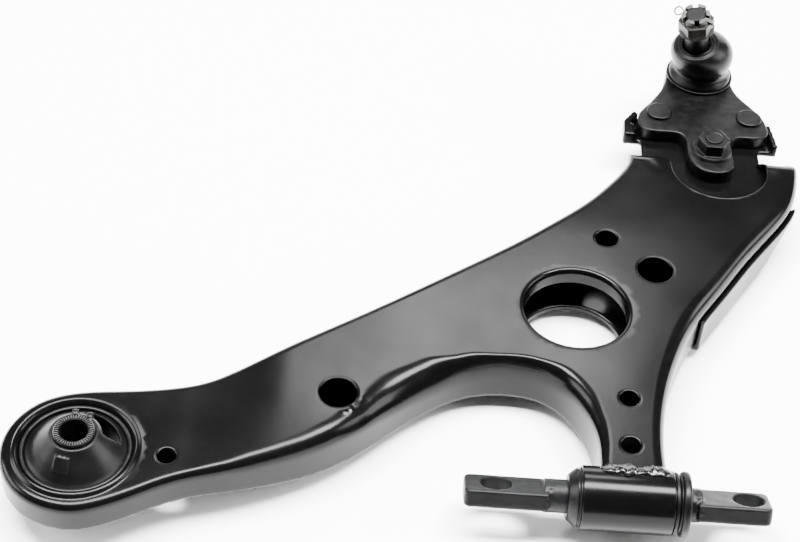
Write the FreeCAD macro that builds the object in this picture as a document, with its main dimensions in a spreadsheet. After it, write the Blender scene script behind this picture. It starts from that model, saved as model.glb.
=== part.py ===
"""Front lower control arm: a hollow stamped arm, two bushes and a bolted ball joint.

Frame, in millimetres: the origin is on the rear bush's axis, in the plane of the front bush's
pin. +X points to the front bush, +Y outboard to the ball joint and +Z up.
"""
import FreeCAD, Part
import Sketcher
import math
import os

from FreeCAD import Placement, Rotation, Vector

doc = FreeCAD.newDocument("ControlArm")

# ------------------------------------------------------------------ driving dimensions

DIMENSIONS = {
    "top_height": 17.0,          # the arm's top face
    "floor_depth": 20.0,         # the arm's underside, at its deepest
    "eye_depth": 10.0,           # the arm's underside, at the rear bush
    "upper_gauge": 3.0,
    "lower_gauge": 4.0,
    "nest_gap": 0.15,            # between the two shells
    "press_gap": 0.1,            # between a shell and what is pressed into it
    "edge_height": 5.5,          # the upper shell's lower edge, above the underside
    "pan_height": 10.0,          # the lower shell's wall
    "wall_limit": 5.0,           # the lower shell's wall, under the upper shell's shoulder
    "flange_top": 6.0,           # the lower shell's outer side flange
    "window_radius": 33.0,
    "window_collar": 10.0,
    "seam_bead": 2.6,            # the seam weld's height
    "leg_bead": 3.4,             # the leg weld's height over the tube
    "eye_radius": 44.0,
    "tube_radius": 19.0,
    "tube_bore": 16.0,
    "tube_length": 53.5,
    "tube_start": 293.0,
    "pin_radius": 9.9,
    "pin_centre": 317.5,
    "pin_rear_end": 92.5,        # the bar's ends, from the middle of its holes
    "pin_front_end": 86.7,
    "pin_neck_half": 43.2,
    "pin_flat_width": 25.0,
    "pin_flat_thick": 11.0,
    "pin_hole_radius": 9.3,
    "pin_hole_pitch": 147.5,
    "pin_tilt": 28.0,
    "front_lip_radius": 19.2,
    "front_ring_thick": 2.4,
    "rubber_gap": 0.05,          # between a rubber and the metal that turns in it
    "outer_sleeve_radius": 32.5,
    "outer_sleeve_wall": 2.7,
    "outer_sleeve_top": 14.5,
    "outer_sleeve_length": 27.0,
    "inner_sleeve_radius": 12.0,
    "inner_sleeve_bore": 8.25,
    "inner_sleeve_top": 30.0,
    "inner_sleeve_length": 56.0,
    "void_inner": 16.0,
    "void_outer": 25.5,
    "void_angle": 75.0,
    "plate_bottom": 4.0,
    "plate_thick": 10.0,
    "joint_across": 389.6,       # the ball joint's axis
    "joint_outboard": 387.3,
    "joint_height": 8.0,
    "ball_radius": 13.0,
    "seat_radius": 16.5,
    "ball_gap": 0.05,
    "housing_radius": 24.0,
    "housing_neck": 20.2,
    "housing_bottom": 12.0,
    "housing_top": 17.0,
    "cap_radius": 17.45,
    "cap_thick": 3.3,
    "mouth_radius": 17.5,        # the cup's underside, which takes the cap
    "mouth_depth": 3.4,
    "throat_radius": 15.0,
    "neck_radius": 7.5,
    "stud_radius": 8.9,
    "stud_thread": 7.0,
    "stud_top": 71.0,
    "nut_base": 56.2,
    "nut_hex": 22.0,
    "nut_hex_height": 7.6,
    "nut_crown_radius": 10.0,
    "nut_crown_height": 5.2,
    "nut_skirt_radius": 13.1,
    "nut_skirt_height": 2.0,
    "nut_slot": 3.4,
    "cotter_radius": 1.3,
    "boot_radius": 22.3,
    "boot_base_radius": 22.4,
    "boot_gauge": 1.6,
    "boot_top": 40.0,
    "boot_top_radius": 16.2,
    "ring_radius": 12.5,
    "fixing_radius": 6.0,
    "fixing_hex": 19.0,
    "fixing_flange": 14.4,
    "stud_nut_flange": 12.2,
    "fixing_hole": 6.3,
    "press_head_radius": 9.0,
    "press_head_height": 2.2,
    "press_nut_height": 10.0,
    "bolt_nut_height": 11.0,
    "fixing_length": 32.0,       # a pressed stud, below its head
    "flange_height": 2.4,
}

sheet = doc.addObject("Spreadsheet::Sheet", "Dims")
for row, (alias, value) in enumerate(DIMENSIONS.items(), start=1):
    sheet.set(f"A{row}", alias)
    sheet.set(f"B{row}", str(value))
    sheet.setAlias(f"B{row}", alias)
doc.recompute()


def dim(alias):
    """A driving dimension, read from the sheet."""
    return float(sheet.get(alias))


# ------------------------------------------------------------------ shared helpers

nodes = []
UP = Vector(0, 0, 1)
ALONG_X = Rotation(Vector(0, 1, 0), 90)
JOINT = Vector(dim("joint_across"), dim("joint_outboard"), dim("joint_height"))
STUD_LEAN_BACK = 11.0      # the stud's rest lean, degrees towards -X
STUD_LEAN_IN = 9.0         # and towards -Y
STUD_AXIS = Vector(-math.tan(math.radians(STUD_LEAN_BACK)), -math.tan(math.radians(STUD_LEAN_IN)), 1)
STUD_PLACE = Placement(JOINT, Rotation(UP, STUD_AXIS))
LOW, HIGH = -60.0, 60.0


def keep(obj, name):
    """Record an object as a finished sub-part."""
    obj.Label = name
    nodes.append(obj)
    return obj


def feature(name, shape):
    """A finished sub-part from a shape."""
    obj = doc.addObject("Part::Feature", name)
    obj.Shape = shape
    return keep(obj, name)


def primitive(kind, name, place=None, **sizes):
    """A Part primitive whose sizes are expressions on the sheet."""
    obj = doc.addObject(f"Part::{kind}", name)
    for prop, expression in sizes.items():
        obj.setExpression(prop, expression)
    if place:
        obj.Placement = place
    return obj


def boolean(kind, name, first, second):
    """A Part boolean of two objects."""
    obj = doc.addObject(f"Part::{kind}", name)
    obj.Base = first
    obj.Tool = second
    return obj


def tube(name, place, outer, inner, length):
    """A plain tube along its placement's Z."""
    solid = primitive("Cylinder", name + "_solid", place, Radius=outer, Height=length)
    bore = primitive("Cylinder", name + "_bore", place, Radius=inner, Height=length)
    return boolean("Cut", name, solid, bore)


def revolved(name, outline, place=None):
    """A Body turned about Z from (radius, height) expressions, each zero or more."""
    body = doc.addObject("PartDesign::Body", name)
    plane = next(item for item in body.Origin.OriginFeatures if item.Role == "XZ_Plane")
    sketch = body.newObject("Sketcher::SketchObject", name + "_profile")
    sketch.AttachmentSupport = (plane, [""])
    sketch.MapMode = "FlatFace"
    flat = [Vector(evaluate(radius), evaluate(height), 0) for radius, height in outline]
    count = len(flat)
    for i in range(count):
        sketch.addGeometry(Part.LineSegment(flat[i], flat[(i + 1) % count]))
    for i in range(count):
        sketch.addConstraint(Sketcher.Constraint("Coincident", i, 2, (i + 1) % count, 1))
    for i, (radius, height) in enumerate(outline):
        for kind, expression, value in (("DistanceX", radius, flat[i].x), ("DistanceY", height, flat[i].y)):
            if value == 0:
                axis = -2 if kind == "DistanceX" else -1
                sketch.addConstraint(Sketcher.Constraint("PointOnObject", i, 1, axis))
            else:
                index = sketch.addConstraint(Sketcher.Constraint(kind, -1, 1, i, 1, value))
                sketch.setExpression(f"Constraints[{index}]", expression)
    turn = body.newObject("PartDesign::Revolution", name + "_turn")
    turn.Profile = sketch
    turn.ReferenceAxis = (sketch, ["V_Axis"])
    turn.Angle = 360.0
    body.Tip = turn
    if place:
        body.Placement = place
    return body


def evaluate(expression):
    """The value of an expression on the sheet's dimensions."""
    return float(sheet.evalExpression(expression.replace("Dims.", "")))


def extrusion(points, direction):
    """A prism of a closed polygon."""
    return Part.Face(Part.makePolygon(points + points[:1])).extrude(direction)


def upright(plan, low=LOW, high=HIGH):
    """A vertical prism of a polygon of x and y."""
    return extrusion([Vector(x, y, low) for x, y in plan], Vector(0, 0, high - low))


# ------------------------------------------------------------------ the arm's outline

def eye_points():
    """The round end about the rear bush, from its outboard side round to its inboard side."""
    radius = dim("eye_radius")
    angles = [118 + 24 * i for i in range(8)]
    return [(radius * math.cos(math.radians(a)), radius * math.sin(math.radians(a)), 5, 5) for a in angles]


# Each point is the wall's x and y, how far in the top face's edge lies, and how far the shoulder falls.
OUTLINE = [
    (34, -32, 5, 5), (49, -23, 5, 5), (66, -15, 5, 5), (85, -9, 6, 6), (104, -2, 8, 8),
    (126, 8, 9, 9), (147, 21, 11, 10), (167, 38, 15, 13), (185, 56, 18, 17), (204, 72, 15, 19),
    (224, 84, 8, 19), (246, 89, 5, 17), (267, 87, 6, 15), (283, 78, 9, 14), (294, 64, 9, 11),
    (301, 47, 7, 8), (304, 30, 6, 7), (304, 10, 5, 6), (308, -8, 5, 5), (324, -12, 5, 5),
    (339, -8, 5, 5), (343, 10, 7, 8), (343, 30, 7, 9), (345, 58, 7, 9), (353, 94, 8, 10),
    (368, 134, 9, 10), (388, 167, 8, 10), (408, 199, 8, 10), (428, 228, 8, 9), (443, 253, 8, 8),
    (450, 278, 7, 7), (451, 304, 6, 6), (445, 326, 5, 5), (440, 342, 5, 5), (424, 351, 5, 5),
    (392, 354, 5, 5), (358, 353, 5, 5), (341, 346, 5, 5), (334, 334, 5, 5), (334, 318, 5, 5),
    (335, 300, 5, 5), (332, 284, 5, 5), (320, 264, 5, 5), (303, 242, 5, 5), (284, 223, 5, 5),
    (257, 199, 5, 5), (227, 175, 5, 5), (192, 148, 5, 5), (156, 121, 5, 5), (124, 98, 5, 5),
    (96, 77, 5, 5), (72, 61, 5, 5), (50, 53, 5, 5), (25, 48.5, 5, 5), (0, 45.3, 5, 5),
]


def full_outline():
    """The outline's rows, once round."""
    return OUTLINE + eye_points()


def inward(rows, i):
    """The unit normal into the arm at one point of the outline."""
    before, after = rows[i - 1], rows[(i + 1) % len(rows)]
    along = Vector(after[0] - before[0], after[1] - before[1], 0)
    along.normalize()
    return Vector(-along.y, along.x, 0)


def ring(offset, height=None, rise=0.0, gauge=0.0):
    """A closed curve round the arm.

    offset moves it in from the wall. rise runs from 0 at the wall to 1 at the top face's edge.
    gauge lowers it and moves it in by a sheet's thickness.
    """
    rows = full_outline()
    points = []
    for i, (x, y, inset, drop) in enumerate(rows):
        turn = rise * math.pi / 2
        depth = offset + gauge * (1 - 0.5 * rise) + inset * (1 - math.cos(turn))
        level = dim("top_height") - gauge - drop * (1 - math.sin(turn)) if height is None else height
        normal = inward(rows, i)
        points.append(Vector(x + normal.x * depth, y + normal.y * depth, level))
    curve = Part.BSplineCurve()
    knots = [i / len(points) for i in range(len(points) + 1)]
    curve.interpolate(Points=points, Parameters=knots, PeriodicFlag=True)
    return Part.Wire([curve.toShape()])


def prism(offset, low=LOW, high=HIGH):
    """The arm's outline, moved in by offset, as a straight prism."""
    face = Part.Face(ring(offset, height=low))
    return face.extrude(Vector(0, 0, high - low))


def domed(gauge):
    """The arm's outer form, or its inner form one sheet thickness in, open downwards."""
    sections = [ring(0.0, height=LOW, gauge=gauge)]
    sections += [ring(0.0, rise=step, gauge=gauge) for step in (0.0, 0.5, 1.0)]
    return Part.makeLoft(sections, True, True)


def slope(points):
    """A smooth edge that leaves and arrives level, between two (along, height) points."""
    (a, low), (b, high) = points
    middle = (a + b) / 2
    return [(a, low), (middle, low), (middle, high), (b, high)]


def above(lift):
    """Everything higher than the arm's underside, raised by lift."""
    floor, eye = -dim("floor_depth") + lift, -dim("eye_depth") + lift
    rear = slope([(45, eye), (185, floor)])
    outer = slope([(205, floor), (252, lift)])
    sides = []
    for low, ends, span, push in (
            (rear, ((-80, eye), (480, floor)), lambda a, z: Vector(a, -60, z), Vector(0, 520, 0)),
            (outer, ((-60, floor), (460, lift)), lambda a, z: Vector(-80, a, z), Vector(560, 0, 0))):
        bend = Part.BezierCurve()
        bend.setPoles([span(*point) for point in low])
        first, last = span(*ends[0]), span(*ends[1])
        corners = [span(*low[3]), last, span(ends[1][0], HIGH), span(ends[0][0], HIGH), first, span(*low[0])]
        edges = [bend.toShape()] + Part.makePolygon(corners).Edges
        sides.append(Part.Face(Part.Wire(edges)).extrude(push))
    return sides[0].common(sides[1])


ROLL_START, ROLL_RADIUS = 283.0, 22.0


def end_roll(gauge):
    """Everything under the upper shell's rolled outer end."""
    start, radius = ROLL_START, ROLL_RADIUS - gauge
    middle = dim("top_height") - ROLL_RADIUS
    half_way = radius * math.sqrt(0.5)
    arc = Part.Arc(Vector(-80, start, middle + radius),
                   Vector(-80, start + half_way, middle + half_way),
                   Vector(-80, start + radius, middle)).toShape()
    corners = [(start + radius, middle), (start + radius, LOW), (-60, LOW), (-60, middle + radius),
               (start, middle + radius)]
    rest = Part.makePolygon([Vector(-80, y, z) for y, z in corners]).Edges
    return Part.Face(Part.Wire([arc] + rest)).extrude(Vector(560, 0, 0))


def drill(x, y, radius, low=LOW, high=HIGH):
    """A vertical hole."""
    return Part.makeCylinder(radius, high - low, Vector(x, y, low))


def front_bush_room():
    """The space that the front bush takes out of the arm's leg."""
    start, length = dim("tube_start"), dim("tube_length")
    barrel = Part.makeCylinder(dim("tube_radius"), length + 20, Vector(start - 10, 0, 0), Vector(1, 0, 0))
    return barrel.fuse(Part.makeBox(length + 20, 68, 120, Vector(start - 10, -60, LOW)))


# ------------------------------------------------------------------ the arm's shells

WINDOW = (293.0, 138.5)
TOP_HOLES = [(314.6, 204.1, 7.5), (345.1, 177.6, 11.5), (147.9, 53.8, 11.5), (323.0, 64.8, 6.0),
             (322.2, 28.2, 6.0)]
THROUGH_HOLES = [(52.6, -1.4, 5.5)]
NOTCH = (396.0, 286.0, 33.0)
HORN_CORNERS = [[(363.4, 285.5), (357.5, 295.5), (352, 310), (380, 310), (380, 285.5)],
                [(442, 306), (452, 292), (460, 292), (460, 306)]]
# Where the pan is cut back beside the ball joint, and the two lugs that stand at its corners.
PAN_CUTS = [[(320, 301), (345, 301), (345, 320.5), (320, 320.5)],
            [(428, 301), (428, 317), (441.5, 317), (438, 340), (431, 360), (480, 360), (480, 301)]]
LUGS = [[(332.2, 320.5), (336.4, 320.5), (337.4, 334), (344, 343.5), (341, 347.5), (333, 336)],
        [(437.5, 317), (441.5, 317), (438, 340), (434.4, 340)]]
LOW_WALL_END = 304.5         # the pan's wall stays low up to here, and stands full height beyond
OPEN_END = 333.0             # the pan has no wall from here outwards
FLANGE_GAP = 0.05            # between the side flange and the upper shell's wall
FLANGE_SPAN = [(350, 146), (390, 141), (470, 236), (470, 264), (400, 246)]
BESIDE_FLANGE = [(350, 140), (400, 140), (480, 236), (480, 270), (395, 250)]
FIXINGS = [(357.9, 341.5), (421.7, 340.3)]
BOLT = (392.4, 303.9)


def upper_shell():
    """The stamped top: a domed skin with turned-down walls, a collared window and a notched end."""
    gauge = dim("upper_gauge")
    outside = domed(0.0).common(end_roll(0.0)).common(above(dim("edge_height")))
    inside = domed(gauge).common(end_roll(gauge))
    shell = outside.cut(inside)
    collar_top = dim("top_height") - 1.0
    window = dim("window_radius")
    depth = dim("window_collar")
    shell = shell.fuse(drill(*WINDOW, window + gauge, collar_top - depth, collar_top))
    eye = dim("outer_sleeve_radius") + dim("press_gap")
    eye_low = dim("lower_gauge") - dim("eye_depth") + dim("press_gap")
    shell = shell.fuse(drill(0, 0, eye + gauge, eye_low, collar_top))
    cuts = [drill(*WINDOW, window), drill(0, 0, eye), drill(*NOTCH), front_bush_room()]
    cuts += [drill(*hole) for hole in TOP_HOLES + THROUGH_HOLES]
    cuts += [upright(corner) for corner in HORN_CORNERS]
    return shell.cut(cuts)


def lower_shell():
    """The stamped bottom: a shallow pan with the ball joint's pad and an outer side flange."""
    nested = dim("upper_gauge") + dim("nest_gap")
    gauge = dim("lower_gauge")
    body = prism(nested).common(above(0.0)).cut(above(dim("pan_height")))
    under_shoulder = [(-80, -80), (520, -80), (520, LOW_WALL_END), (-80, LOW_WALL_END)]
    body = body.cut(upright(under_shoulder, dim("wall_limit")))
    hollow = prism(nested + gauge).common(above(gauge))
    pan = body.cut(hollow)
    open_end = [(330, OPEN_END), (450, OPEN_END), (450, 373), (330, 373)]
    pan = pan.cut([upright(open_end, gauge)] + [upright(cut) for cut in PAN_CUTS])
    pan = pan.fuse([upright(lug, 0, dim("pan_height")) for lug in LUGS])
    band = prism(-dim("upper_gauge"), -dim("floor_depth") + 1.0, dim("flange_top"))
    band = band.cut(prism(-FLANGE_GAP))
    foot = prism(-dim("upper_gauge")).cut(prism(nested)).common(above(0.0)).cut(above(gauge))
    flange = band.fuse(foot).common(upright(FLANGE_SPAN)).common(above(0.0))
    pan = pan.fuse(flange)
    eye = dim("outer_sleeve_radius") + dim("press_gap")
    cuts = [drill(*WINDOW, dim("window_radius")), drill(0, 0, eye)]
    cuts += [drill(*hole) for hole in THROUGH_HOLES]
    cuts += [drill(x, y, dim("fixing_hole")) for x, y in FIXINGS + [BOLT]]
    return pan.cut(cuts + [front_bush_room()])


def seam_weld():
    """The bead in the step between the two shells, along both long sides."""
    edge, bead = dim("edge_height"), dim("seam_bead")
    strip = prism(0.5).cut(prism(dim("upper_gauge") + dim("nest_gap")))
    strip = strip.common(above(edge - bead)).cut(above(edge))
    leg_end = upright([(288, -60), (358, -60), (358, 22), (288, 22)])
    outer_end = upright([(250, 292), (550, 292), (550, 492), (250, 492)])
    return strip.cut([leg_end, outer_end, upright(BESIDE_FLANGE)])


feature("upper_shell", upper_shell())
feature("lower_shell", lower_shell())
feature("seam_weld", seam_weld())

# ------------------------------------------------------------------ the front bush

TUBE_PLACE = Placement(Vector(dim("tube_start"), 0, 0), ALONG_X)
keep(tube("front_bush_tube", TUBE_PLACE, "Dims.tube_radius", "Dims.tube_bore", "Dims.tube_length"),
     "front_bush_tube")


def front_bush_weld():
    """The bead where the arm's leg meets the tube: a rounded saddle over the tube's outboard side."""
    radius, bead = dim("tube_radius"), dim("leg_bead")
    saddle = Part.makeCylinder(radius + bead, 44, Vector(302, 0, 0), Vector(1, 0, 0))
    saddle = saddle.cut(Part.makeCylinder(radius, 46, Vector(301, 0, 0), Vector(1, 0, 0)))
    sector = extrusion([Vector(300, 3.0, 24), Vector(300, 3.5, 17.0), Vector(300, 14.0, 17.0),
                        Vector(300, 12.0, 24)], Vector(48, 0, 0))
    cap = saddle.common(sector)
    return cap.removeSplitter()


feature("front_bush_weld", front_bush_weld())

LIP_START = dim("tube_start") - 8.0
front_rubber = revolved("front_bush_rubber", [
    ("Dims.pin_radius + Dims.rubber_gap", "0"),
    ("Dims.pin_radius + 3.5", "0"),
    ("Dims.tube_bore + 1.6", "6.5"),
    ("Dims.tube_bore + 1.6", "8"),
    ("Dims.tube_bore", "8"),
    ("Dims.tube_bore", "Dims.tube_length + 11.5"),
    ("Dims.tube_bore + 1.2", "Dims.tube_length + 11.5"),
    ("Dims.front_lip_radius - 1.2", "Dims.tube_length + 12.5"),
    ("Dims.front_lip_radius", "Dims.tube_length + 15"),
    ("Dims.front_lip_radius - 1.2", "Dims.tube_length + 17.5"),
    ("Dims.pin_radius + 3", "Dims.tube_length + 19"),
    ("Dims.pin_radius + Dims.rubber_gap", "Dims.tube_length + 19"),
], Placement(Vector(LIP_START, 0, 0), ALONG_X))
keep(front_rubber, "front_bush_rubber")

ring_place = Placement(Vector(dim("tube_start") + dim("tube_length") + 0.6, 0, 0), ALONG_X)
keep(tube("front_bush_ring", ring_place, "Dims.tube_radius - 0.6", "Dims.tube_bore", "Dims.front_ring_thick"),
     "front_bush_ring")


def bar_pin():
    """A round bar with two flattened, drilled ends, turned about its own axis."""
    neck_half, width, thick = dim("pin_neck_half"), dim("pin_flat_width"), dim("pin_flat_thick")
    bury = 3.0
    solid = Part.makeCylinder(dim("pin_radius"), 2 * (neck_half + bury), Vector(-neck_half - bury, 0, 0),
                              Vector(1, 0, 0))
    for side, end in ((-1, dim("pin_rear_end")), (1, dim("pin_front_end"))):
        start = neck_half if side > 0 else -end
        slab = Part.makeBox(end - neck_half, width, thick, Vector(start, -width / 2, -thick / 2))
        tip = [edge for edge in slab.Edges
               if is_upright(edge) and abs(edge.Vertexes[0].X - side * end) < 1e-6]
        slab = slab.makeFillet(4.0, tip)
        long_edges = [edge for edge in slab.Edges if is_along_x(edge)]
        slab = slab.makeFillet(1.5, long_edges)
        middle = side * dim("pin_hole_pitch") / 2
        hole = Part.makeCylinder(dim("pin_hole_radius"), 2 * thick, Vector(middle, 0, -thick))
        solid = solid.fuse(slab).cut(hole)
    return solid


def is_upright(edge):
    """Whether an edge is straight and runs along Z."""
    ends = [vertex.Point for vertex in edge.Vertexes]
    return len(ends) == 2 and abs(ends[0].x - ends[1].x) < 1e-6 and abs(ends[0].y - ends[1].y) < 1e-6


def is_along_x(edge):
    """Whether an edge is straight and runs along X."""
    ends = [vertex.Point for vertex in edge.Vertexes]
    return len(ends) == 2 and abs(ends[0].y - ends[1].y) < 1e-6 and abs(ends[0].z - ends[1].z) < 1e-6


bar = feature("front_bush_bar", bar_pin())
bar.Placement = Placement(Vector(dim("pin_centre"), 0, 0), Rotation(Vector(1, 0, 0), -dim("pin_tilt")))

# ------------------------------------------------------------------ the rear bush

sleeve_base = dim("outer_sleeve_top") - dim("outer_sleeve_length")
SLEEVE_PLACE = Placement(Vector(0, 0, sleeve_base), Rotation())
keep(tube("rear_bush_outer_sleeve", SLEEVE_PLACE, "Dims.outer_sleeve_radius",
          "Dims.outer_sleeve_radius - Dims.outer_sleeve_wall", "Dims.outer_sleeve_length"),
     "rear_bush_outer_sleeve")

INNER_PLACE = Placement(Vector(0, 0, dim("inner_sleeve_top") - dim("inner_sleeve_length")), Rotation())
keep(tube("rear_bush_inner_sleeve", INNER_PLACE, "Dims.inner_sleeve_radius", "Dims.inner_sleeve_bore",
          "Dims.inner_sleeve_length"), "rear_bush_inner_sleeve")

RUBBER_BASE = -23.0
rubber_turn = revolved("rear_bush_rubber_turn", [
    ("Dims.inner_sleeve_radius + Dims.rubber_gap", "0"),
    ("Dims.inner_sleeve_radius + 2", "0"),
    ("Dims.inner_sleeve_radius + 7", "7"),
    ("Dims.outer_sleeve_radius - Dims.outer_sleeve_wall", "11.5"),
    ("Dims.outer_sleeve_radius - Dims.outer_sleeve_wall", "35.5"),
    ("Dims.outer_sleeve_radius - 5", "37"),
    ("Dims.inner_sleeve_radius + 10", "43"),
    ("Dims.inner_sleeve_radius + 3.5", "49.5"),
    ("Dims.inner_sleeve_radius + 2", "51"),
    ("Dims.inner_sleeve_radius + Dims.rubber_gap", "51"),
], Placement(Vector(0, 0, RUBBER_BASE), Rotation()))
VOID_HEADING = 45.0          # the crescent's middle, from +X towards +Y
void_place = Placement(Vector(0, 0, LOW), Rotation(UP, VOID_HEADING - dim("void_angle") / 2))
void_wide = primitive("Cylinder", "void_wide", void_place, Radius="Dims.void_outer", Height="120",
                      Angle="Dims.void_angle")
void_slim = primitive("Cylinder", "void_slim", void_place, Radius="Dims.void_inner", Height="120",
                      Angle="Dims.void_angle")
crescent = boolean("Cut", "rear_bush_void", void_wide, void_slim)
keep(boolean("Cut", "rear_bush_rubber_cut", rubber_turn, crescent), "rear_bush_rubber")

# ------------------------------------------------------------------ the ball joint

# The plate's free edge, from the cup's left side round the bolt's lobe to its right side.
PLATE = [(365.7, 388), (359.7, 366), (350, 350), (343.6, 340), (342.6, 331), (346, 323.6), (353, 321.3),
         (365, 321.3), (372.3, 319.5), (375.3, 313), (375.7, 300), (377.7, 291.5), (381.6, 285.2),
         (387.5, 281.6), (395, 280.6), (401.6, 282.4), (405.9, 287), (407.1, 295), (406.9, 312.5),
         (409.2, 318), (416, 320.2), (428, 320.9), (433.3, 324.6), (434.3, 332), (432.4, 342), (424, 356),
         (413.5, 388)]


def housing():
    """The cup and its bolting plate, one forging, with a round cavity for the seat."""
    base, top = -dim("housing_bottom"), dim("housing_top")
    cup = drill(JOINT.x, JOINT.y, dim("housing_radius"), base, top - 4.0)
    cup = cup.fuse(drill(JOINT.x, JOINT.y, dim("housing_neck"), base, top))
    outline = [Vector(x, y, dim("plate_bottom")) for x, y in PLATE]
    edge = Part.BSplineCurve()
    edge.interpolate(Points=outline)
    closing = Part.LineSegment(outline[-1], outline[0])
    rim = Part.Wire([edge.toShape(), closing.toShape()])
    plate = Part.Face(rim).extrude(Vector(0, 0, dim("plate_thick")))
    solid = cup.fuse(plate)
    cavity = Part.makeSphere(dim("seat_radius") + dim("ball_gap"), JOINT)
    mouth = drill(JOINT.x, JOINT.y, dim("mouth_radius"), base, base + dim("mouth_depth"))
    throat = drill(JOINT.x, JOINT.y, dim("throat_radius"), base, 0)
    holes = [drill(x, y, dim("fixing_hole")) for x, y in FIXINGS + [BOLT]]
    return solid.cut([cavity, mouth, throat] + holes)


feature("ball_joint_housing", housing())

CAP_PLACE = Placement(Vector(JOINT.x, JOINT.y, -dim("housing_bottom")), Rotation())
keep(primitive("Cylinder", "ball_joint_cap", CAP_PLACE, Radius="Dims.cap_radius", Height="Dims.cap_thick"),
     "ball_joint_cap")


def seat():
    """The plastic liner: a band of a hollow sphere about the ball."""
    outer = Part.makeSphere(dim("seat_radius"), JOINT)
    inner = Part.makeSphere(dim("ball_radius") + dim("ball_gap"), JOINT)
    band = drill(JOINT.x, JOINT.y, 40, JOINT.z - 11.5, JOINT.z + 4.5)
    return outer.cut(inner).common(band)


feature("ball_seat", seat())

# The stud's outline, in height above its start. It is turned about its own axis.
SHANK_START = 9.0            # above the ball's centre
SLOT_ANGLE = -30.0           # the cotter pin's way, across two flats of the castle nut
shank = revolved("stud_shank", [
    ("0", "0"),
    ("Dims.neck_radius", "0"),
    ("Dims.neck_radius", "9"),
    ("Dims.stud_radius + 0.5", "14"),
    ("Dims.stud_radius + 0.5", "17.5"),
    ("Dims.stud_radius", "19"),
    ("Dims.stud_radius - 0.9", "Dims.nut_base - 9.2"),
    ("Dims.stud_thread", "Dims.nut_base - 9.2"),
    ("Dims.stud_thread", "Dims.stud_top - 9.6"),
    ("Dims.stud_thread - 0.6", "Dims.stud_top - 9"),
    ("0", "Dims.stud_top - 9"),
])
doc.recompute()


def stud():
    """The ball and its shank, with the cross hole for the cotter pin."""
    stem = shank.Shape.translated(Vector(0, 0, SHANK_START))
    solid = Part.makeSphere(dim("ball_radius")).fuse(stem)
    cross = Part.makeCylinder(dim("cotter_radius") + 0.25, 40, Vector(-20, 0, pin_height()), Vector(1, 0, 0))
    return solid.cut(cross.rotated(Vector(), UP, SLOT_ANGLE))


def pin_height():
    """The cotter pin's height above the ball's centre."""
    return dim("nut_base") + dim("nut_skirt_height") + dim("nut_hex_height") + 2.4


def hexagon(across, height, base):
    """A six-sided prism with its corners turned off at the top."""
    radius = across / math.sqrt(3)
    corners = [Vector(radius * math.cos(math.radians(60 * i)), radius * math.sin(math.radians(60 * i)), base)
               for i in range(6)]
    return extrusion(corners, Vector(0, 0, height))


def castle_nut():
    """A hexagon on a round skirt, with a crown of six slots."""
    base = dim("nut_base")
    skirt_top = base + dim("nut_skirt_height")
    hex_top = skirt_top + dim("nut_hex_height")
    solid = Part.makeCone(dim("nut_skirt_radius"), dim("nut_skirt_radius") - 1.4, dim("nut_skirt_height"),
                          Vector(0, 0, base))
    solid = solid.fuse(hexagon(dim("nut_hex"), dim("nut_hex_height"), skirt_top))
    crown_height = dim("nut_crown_height")
    solid = solid.fuse(Part.makeCylinder(dim("nut_crown_radius"), crown_height, Vector(0, 0, hex_top)))
    bore = Part.makeCylinder(dim("stud_thread"), 60, Vector(0, 0, base - 10))
    slots = []
    width = dim("nut_slot")
    for i in range(3):
        slot = Part.makeBox(60, width, crown_height + 1, Vector(-30, -width / 2, hex_top))
        slots.append(slot.rotated(Vector(), UP, 60 * i + SLOT_ANGLE))
    return solid.cut([bore] + slots)


def cotter_pin():
    """Two legs through the cross hole, a loop on one side and turned-down ends on the other."""
    wire, level = dim("cotter_radius"), pin_height()
    reach = dim("nut_crown_radius")
    shaft = Part.makeCylinder(wire, 2 * reach + 3, Vector(-reach - 1, 0, level), Vector(1, 0, 0))
    loop = Part.makeTorus(2.9, 0.75, Vector(-reach - 4.0, 0, level), Vector(0, 1, 0))
    leg = Part.makeCylinder(wire * 0.8, 3.0, Vector(reach + 1.8, 0, level + 0.6), Vector(1, 0, -0.8))
    return shaft.fuse([loop, leg]).rotated(Vector(), UP, SLOT_ANGLE)


def on_stud(name, shape):
    """A sub-part that sits on the leaning stud."""
    part = feature(name, shape)
    part.Placement = STUD_PLACE * part.Placement
    return part


on_stud("ball_stud", stud())
on_stud("castle_nut", castle_nut())
on_stud("cotter_pin", cotter_pin())


def boot_section(height, radius, lean):
    """A circle of the boot, part way from the housing's axis to the stud's."""
    axis = (UP * (1 - lean) + STUD_PLACE.Rotation.multVec(UP) * lean).normalize()
    centre = JOINT + Vector(axis.x * height * lean, axis.y * height * lean, axis.z * height)
    return Part.Wire([Part.makeCircle(radius, centre, axis)])


def boot():
    """A hollow rubber dome, clamped round the housing and closed on the stud's ring."""
    gauge = dim("boot_gauge")
    base, wide, top = dim("boot_base_radius"), dim("boot_radius"), dim("boot_top")
    stations = [(6.3, base, 0.0), (9.6, base, 0.0), (12.5, wide - 2.3, 0.04), (15.5, wide - 3.6, 0.1),
                (18.5, wide - 2.2, 0.2), (23.0, wide - 0.6, 0.36), (28.5, wide, 0.54),
                (33.5, wide - 1.2, 0.74), (37.5, wide - 3.6, 0.92), (top, dim("boot_top_radius"), 1.0)]
    outer = Part.makeLoft([boot_section(*station) for station in stations], True, False)
    inside = [(h - (gauge if h > 35 else 0), r - gauge, lean) for h, r, lean in stations]
    inner = Part.makeLoft([boot_section(*station) for station in inside], True, False)
    throat = Part.makeCylinder(dim("ring_radius"), 30, Vector(0, 0, top - 12))
    throat.Placement = STUD_PLACE
    return outer.cut([inner, throat])


feature("dust_boot", boot())


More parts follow.
